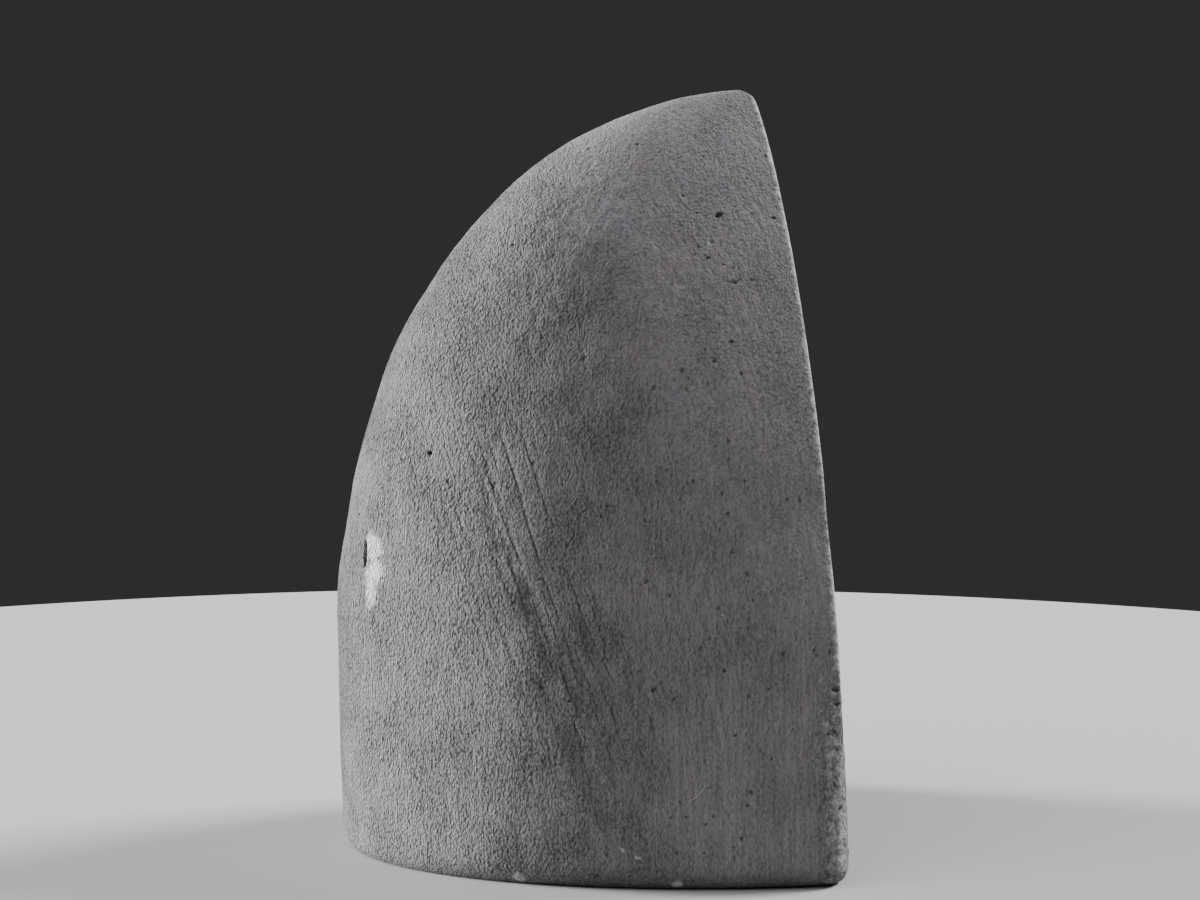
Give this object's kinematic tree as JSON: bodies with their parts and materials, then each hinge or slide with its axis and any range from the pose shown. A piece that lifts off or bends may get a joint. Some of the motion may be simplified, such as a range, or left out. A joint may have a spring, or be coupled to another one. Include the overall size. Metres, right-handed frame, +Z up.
{
  "type": "amethyst geode dome",
  "caption": "Upright amethyst geode with a flat sawn face, a crystal-lined hollow, and a hand-laid dark grey cement coat on its domed back and flat foot.",
  "frame": {"origin": "middle of the footprint on the surface that the dome stands on", "axes": "+Z up, -Y out of the sawn face, +Y towards the domed cement back"},
  "size_m": [0.1503, 0.1196, 0.2],
  "materials": {
    "cement": "rough, hand-trowelled",
    "agate": "polished on the sawn face",
    "amethyst": "clear glossy crystal"
  },
  "bodies": {
    "root": {"cement_jacket": "cement", "agate_wall": "agate", "amethyst_crust": "amethyst"}
  },
  "joints": []
}
